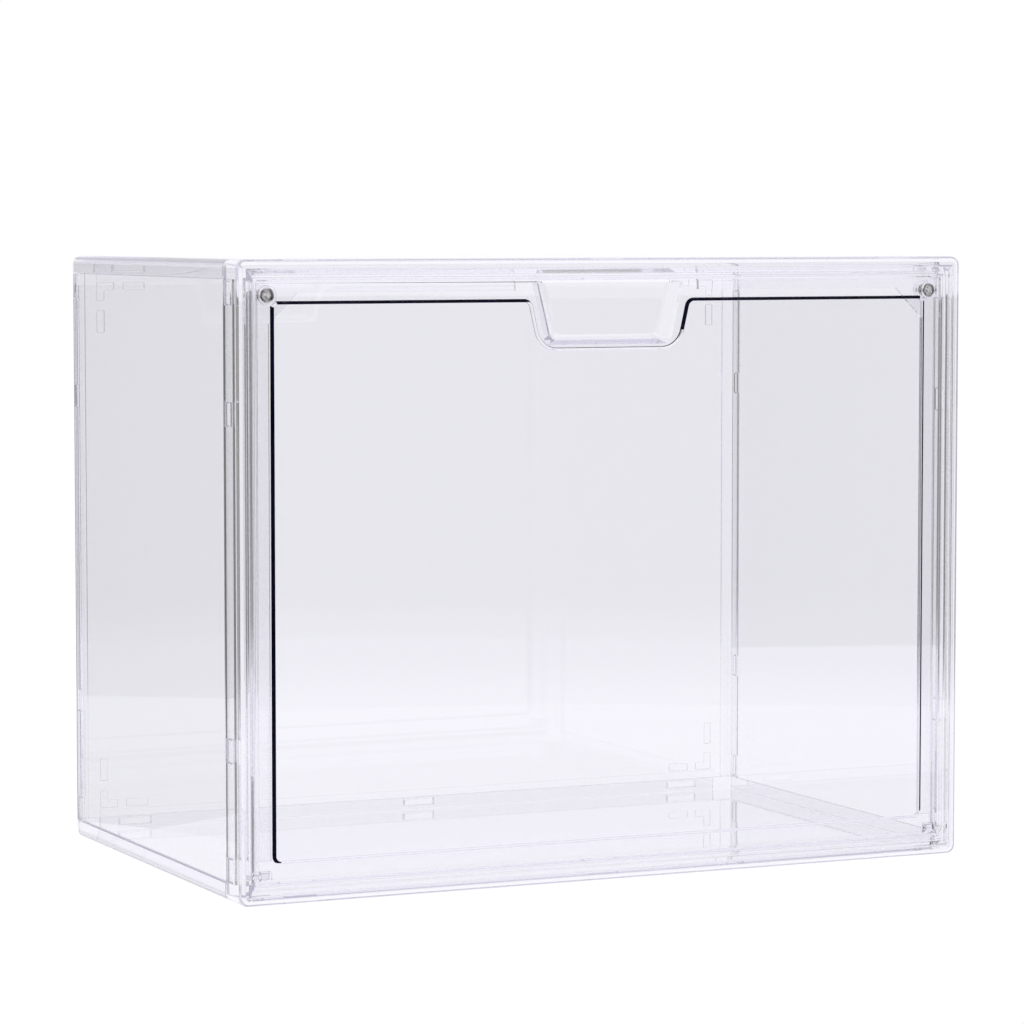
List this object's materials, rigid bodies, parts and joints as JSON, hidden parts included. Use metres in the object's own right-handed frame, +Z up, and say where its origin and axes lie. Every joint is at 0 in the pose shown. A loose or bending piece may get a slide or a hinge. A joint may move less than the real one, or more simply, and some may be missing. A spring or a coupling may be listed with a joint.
{
  "type": "shoe box",
  "caption": "Clear stackable display box for shoes, with a drop-front door that hinges at its foot and shuts on magnets.",
  "frame": {"origin": "middle of the base, on the surface that the box stands on", "axes": "+X along the width, to the right seen from the door; +Y from the door to the back; +Z up"},
  "size_m": [0.346, 0.217, 0.27],
  "materials": {
    "clear_plastic": "clear moulded plastic, polished, with a faint lilac tint",
    "door_plastic": "clear moulded plastic, polished",
    "magnets": "nickel plating, bright, slightly dulled"
  },
  "bodies": {
    "case": {"front_frame": "clear_plastic", "top_panel": "clear_plastic", "bottom_panel": "clear_plastic", "left_panel": "clear_plastic", "right_panel": "clear_plastic", "back_panel": "clear_plastic", "frame_magnet_left": "magnets", "frame_magnet_right": "magnets"},
    "door": {"door": "door_plastic", "door_magnet_left": "magnets", "door_magnet_right": "magnets", "hinge_pin_left": "clear_plastic", "hinge_pin_right": "clear_plastic"}
  },
  "joints": [
    {"name": "door_hinge", "type": "hinge", "parent": "case", "child": "door", "pos_m": [0, -0.103, 0.012], "axis": [1, 0, 0], "range_deg": [0, 90]}
  ]
}
